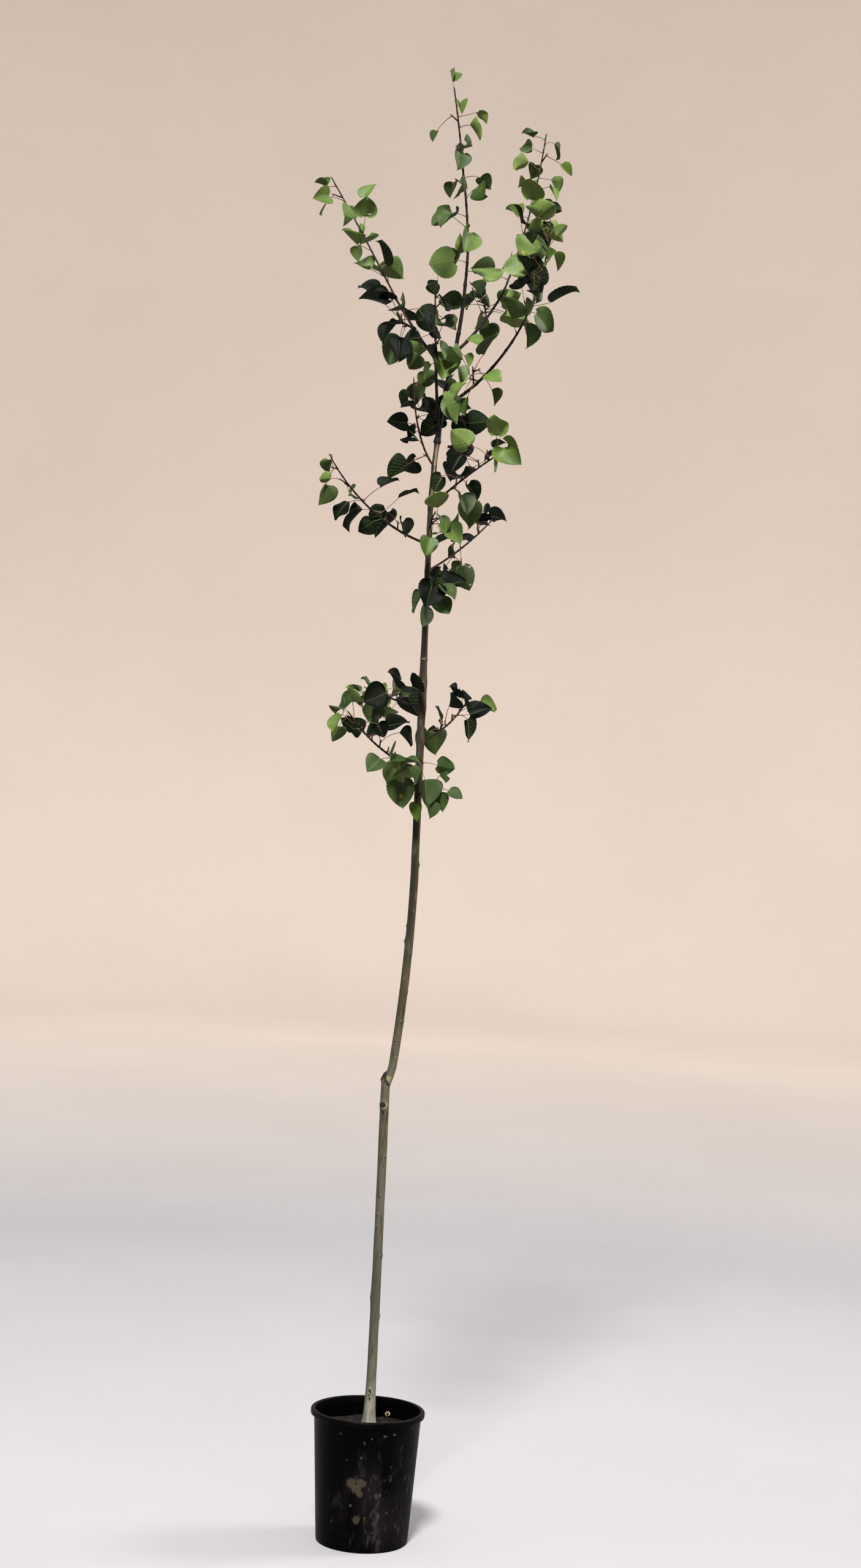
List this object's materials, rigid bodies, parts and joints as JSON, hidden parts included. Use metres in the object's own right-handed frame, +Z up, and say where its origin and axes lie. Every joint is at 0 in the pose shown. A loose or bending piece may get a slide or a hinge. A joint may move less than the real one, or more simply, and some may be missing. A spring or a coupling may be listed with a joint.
{
  "type": "potted quaking aspen",
  "caption": "Young quaking aspen, one slender upright stem with leafy side shoots, growing in a round black nursery pot.",
  "frame": {"origin": "centre of the flat underside of the pot", "axes": "+Z up along the stem, +X to the right in the picture, +Y away from the viewer"},
  "size_m": [0.437, 0.3478, 2.4152],
  "materials": {
    "black_plastic": "dusty black moulded plastic with a dull sheen",
    "potting_mix": "dark crumbly potting mix",
    "bark": "smooth grey-green young bark with dark scars",
    "young_bark": "dark red-brown young bark with a slight gloss",
    "foliage": "thin satin green leaves on red stalks"
  },
  "bodies": {
    "root": {"pot": "black_plastic", "potting_mix": "potting_mix", "trunk": "bark", "leader": "young_bark", "bough_left": "young_bark", "bough_right_low": "young_bark", "bough_right_high": "young_bark", "crown_top": "foliage", "crown_leader_front": "foliage", "crown_leader_low": "foliage", "crown_left_high": "foliage", "crown_left_mid": "foliage", "crown_front": "foliage", "crown_back_left": "foliage", "crown_right_high": "foliage", "crown_right_back": "foliage", "crown_right_low": "foliage", "crown_right_front": "foliage", "side_right_high": "foliage", "side_left_high": "foliage", "side_front_high": "foliage", "side_right_mid": "foliage", "side_front_mid": "foliage", "side_left_mid": "foliage", "side_right_low": "foliage", "side_left_low": "foliage", "side_front_low": "foliage", "side_lowest": "foliage"}
  },
  "joints": []
}
